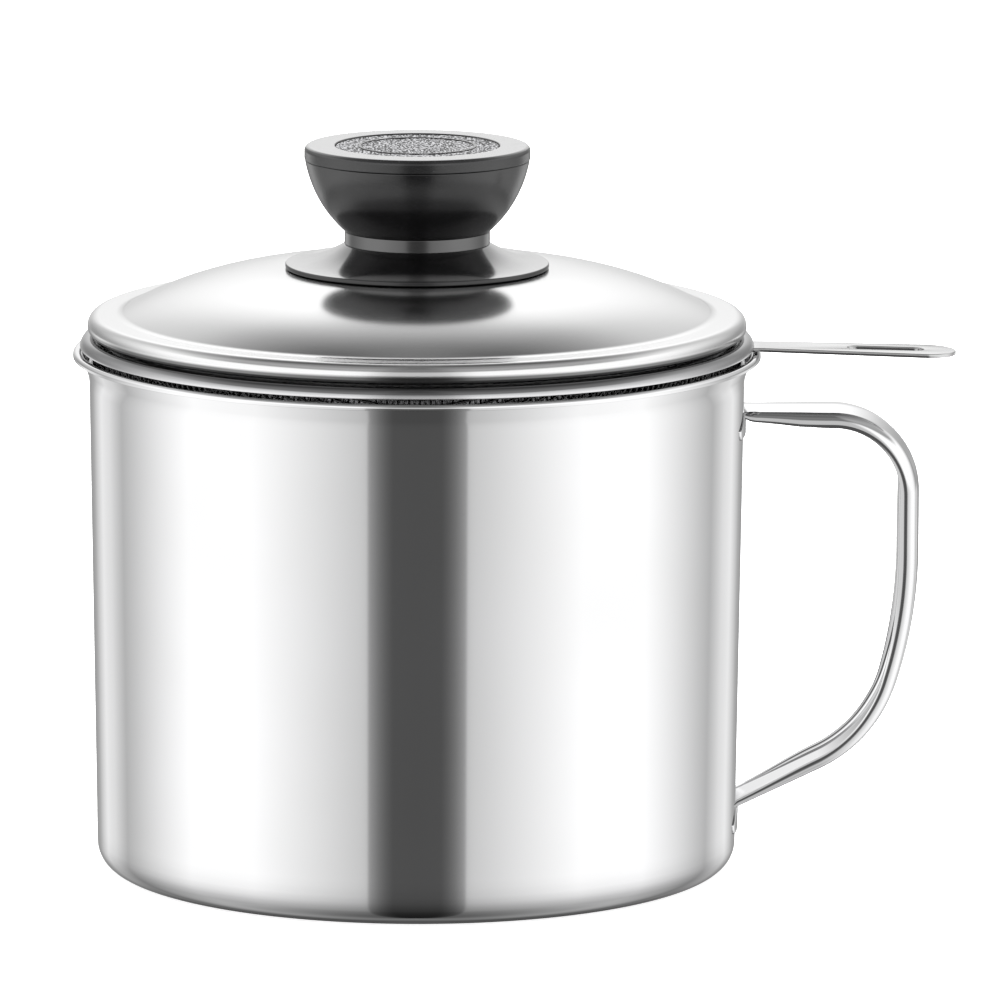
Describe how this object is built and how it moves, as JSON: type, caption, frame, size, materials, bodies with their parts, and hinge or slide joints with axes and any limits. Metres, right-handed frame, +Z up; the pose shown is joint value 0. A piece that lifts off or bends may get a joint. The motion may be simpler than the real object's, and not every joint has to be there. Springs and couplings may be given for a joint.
{
  "type": "grease container",
  "caption": "Round stainless steel grease container with a channel handle, a mesh strainer that lifts out by a flat tab, and a domed lid with a black turned knob.",
  "frame": {"origin": "On the pot's axis, in the plane that the pot stands on", "axes": "+Z up along the pot's axis, +X towards the pot handle and the strainer's tab, +Y completes a right-handed frame"},
  "size_m": [0.1874, 0.146, 0.155],
  "materials": {
    "pot_steel": "polished",
    "handle_steel": "polished",
    "strainer_steel": "satin",
    "mesh_steel": "woven wire",
    "tab_steel": "satin",
    "lid_steel": "satin",
    "knob_plastic": "satin gloss",
    "disc_plastic": "fine grain",
    "collar_steel": "satin",
    "insert_brass": "turned",
    "screw_steel": "zinc plated"
  },
  "bodies": {
    "pot": {"pot_body": "pot_steel", "pot_handle": "handle_steel"},
    "strainer": {"strainer_rim": "strainer_steel", "strainer_mesh": "mesh_steel", "mesh_clamp_ring": "strainer_steel", "strainer_tab": "tab_steel"},
    "lid": {"lid_shell": "lid_steel", "knob_flange": "knob_plastic", "knob_collar": "collar_steel", "knob_bowl": "knob_plastic", "knob_cap": "knob_plastic", "knob_top_disc": "disc_plastic", "knob_insert": "insert_brass", "lid_screw": "screw_steel", "screw_washer": "screw_steel", "spring_washer": "screw_steel"}
  },
  "joints": [
    {"name": "strainer_lift", "type": "slide", "parent": "pot", "child": "strainer", "axis": [0, 0, 1], "range_m": [0, 0.06]},
    {"name": "lid_lift", "type": "slide", "parent": "strainer", "child": "lid", "axis": [0, 0, 1], "range_m": [0, 0.06]}
  ]
}
